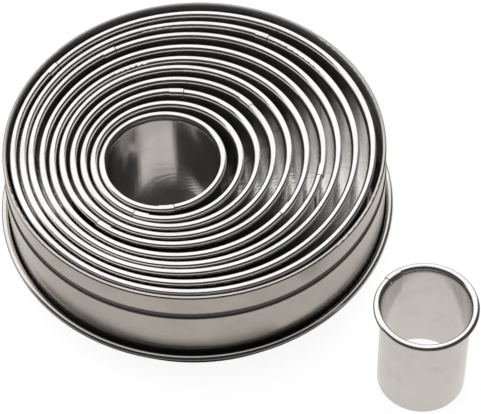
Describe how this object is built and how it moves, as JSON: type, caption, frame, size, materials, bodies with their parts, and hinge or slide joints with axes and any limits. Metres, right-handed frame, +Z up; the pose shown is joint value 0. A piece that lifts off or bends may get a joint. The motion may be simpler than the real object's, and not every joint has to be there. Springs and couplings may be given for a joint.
{
  "type": "biscuit cutter",
  "caption": "Graded set of plain round metal pastry cutters nested in a round lidded tin, with the smallest cutter standing beside it.",
  "frame": {"origin": "middle of the upturned lid's underside, on the table plane and on the tin's axis", "axes": "+X towards the viewer's right in the picture, +Y away from the viewer, +Z up"},
  "size_m": [0.1344, 0.1308, 0.035],
  "materials": {
    "lid": "satin rolled stainless sheet",
    "tin": "satin rolled stainless sheet",
    "cutter_01": "bright rolled stainless sheet",
    "cutter_02": "bright rolled stainless sheet",
    "cutter_03": "bright rolled stainless sheet",
    "cutter_04": "bright rolled stainless sheet",
    "cutter_05": "bright rolled stainless sheet",
    "cutter_06": "bright rolled stainless sheet",
    "cutter_07": "bright rolled stainless sheet",
    "cutter_08": "bright rolled stainless sheet",
    "cutter_09": "bright rolled stainless sheet",
    "cutter_10": "bright rolled stainless sheet",
    "cutter_11": "bright rolled stainless sheet"
  },
  "bodies": {
    "lid": {"lid": "lid"},
    "tin": {"tin": "tin"},
    "cutter_01": {"cutter_01": "cutter_01"},
    "cutter_02": {"cutter_02": "cutter_02"},
    "cutter_03": {"cutter_03": "cutter_03"},
    "cutter_04": {"cutter_04": "cutter_04"},
    "cutter_05": {"cutter_05": "cutter_05"},
    "cutter_06": {"cutter_06": "cutter_06"},
    "cutter_07": {"cutter_07": "cutter_07"},
    "cutter_08": {"cutter_08": "cutter_08"},
    "cutter_09": {"cutter_09": "cutter_09"},
    "cutter_10": {"cutter_10": "cutter_10"},
    "cutter_11": {"cutter_11": "cutter_11"}
  },
  "joints": [
    {"name": "tin_lift", "type": "slide", "parent": "lid", "child": "tin", "axis": [0, 0, 1], "range_m": [0, 0.03]},
    {"name": "cutter_01_lift", "type": "slide", "parent": "lid", "child": "cutter_01", "axis": [0, 0, 1], "range_m": [0, 0.05]},
    {"name": "cutter_02_lift", "type": "slide", "parent": "tin", "child": "cutter_02", "axis": [0, 0, 1], "range_m": [0, 0.05]},
    {"name": "cutter_03_lift", "type": "slide", "parent": "tin", "child": "cutter_03", "axis": [0, 0, 1], "range_m": [0, 0.05]},
    {"name": "cutter_04_lift", "type": "slide", "parent": "tin", "child": "cutter_04", "axis": [0, 0, 1], "range_m": [0, 0.05]},
    {"name": "cutter_05_lift", "type": "slide", "parent": "tin", "child": "cutter_05", "axis": [0, 0, 1], "range_m": [0, 0.05]},
    {"name": "cutter_06_lift", "type": "slide", "parent": "tin", "child": "cutter_06", "axis": [0, 0, 1], "range_m": [0, 0.05]},
    {"name": "cutter_07_lift", "type": "slide", "parent": "tin", "child": "cutter_07", "axis": [0, 0, 1], "range_m": [0, 0.05]},
    {"name": "cutter_08_lift", "type": "slide", "parent": "tin", "child": "cutter_08", "axis": [0, 0, 1], "range_m": [0, 0.05]},
    {"name": "cutter_09_lift", "type": "slide", "parent": "tin", "child": "cutter_09", "axis": [0, 0, 1], "range_m": [0, 0.05]},
    {"name": "cutter_10_lift", "type": "slide", "parent": "tin", "child": "cutter_10", "axis": [0, 0, 1], "range_m": [0, 0.05]},
    {"name": "cutter_11_lift", "type": "slide", "parent": "tin", "child": "cutter_11", "axis": [0, 0, 1], "range_m": [0, 0.05]}
  ]
}
